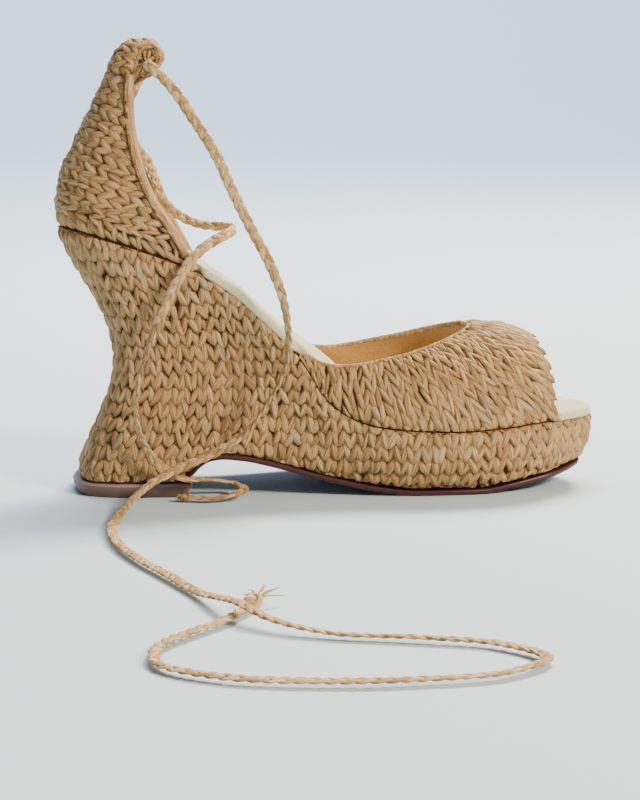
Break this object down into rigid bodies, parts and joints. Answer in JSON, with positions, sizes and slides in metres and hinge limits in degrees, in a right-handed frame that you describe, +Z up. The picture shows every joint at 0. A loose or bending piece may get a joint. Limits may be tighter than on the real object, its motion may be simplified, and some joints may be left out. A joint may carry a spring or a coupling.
{
  "type": "wedge espadrille sandal",
  "caption": "Left raffia wedge platform sandal with an open toe, a bare waist, a folded heel counter and a braided ankle tie lying loose.",
  "frame": {"origin": "on the floor, under the middle of the shoe's box measured without the tie", "axes": "+X from the heel towards the toe, +Y towards the shoe's outer side, +Z up"},
  "size_m": [0.2282, 0.3499, 0.191],
  "materials": {
    "raffia": "matte hand-stitched raffia",
    "insole": "smooth ivory lining leather",
    "outsole": "dark oxblood, lightly polished edge",
    "lift": "moulded brown rubber, satin",
    "tie": "flat braid of raffia strands"
  },
  "bodies": {
    "root": {"heel_lift": "lift", "outsole": "outsole", "wedge": "raffia", "insole": "insole", "vamp": "raffia", "heel_counter": "raffia", "tie_bridge": "tie", "tie_near": "tie", "tie_far": "tie", "tie_near_knot": "tie", "tie_far_knot": "tie"}
  },
  "joints": []
}
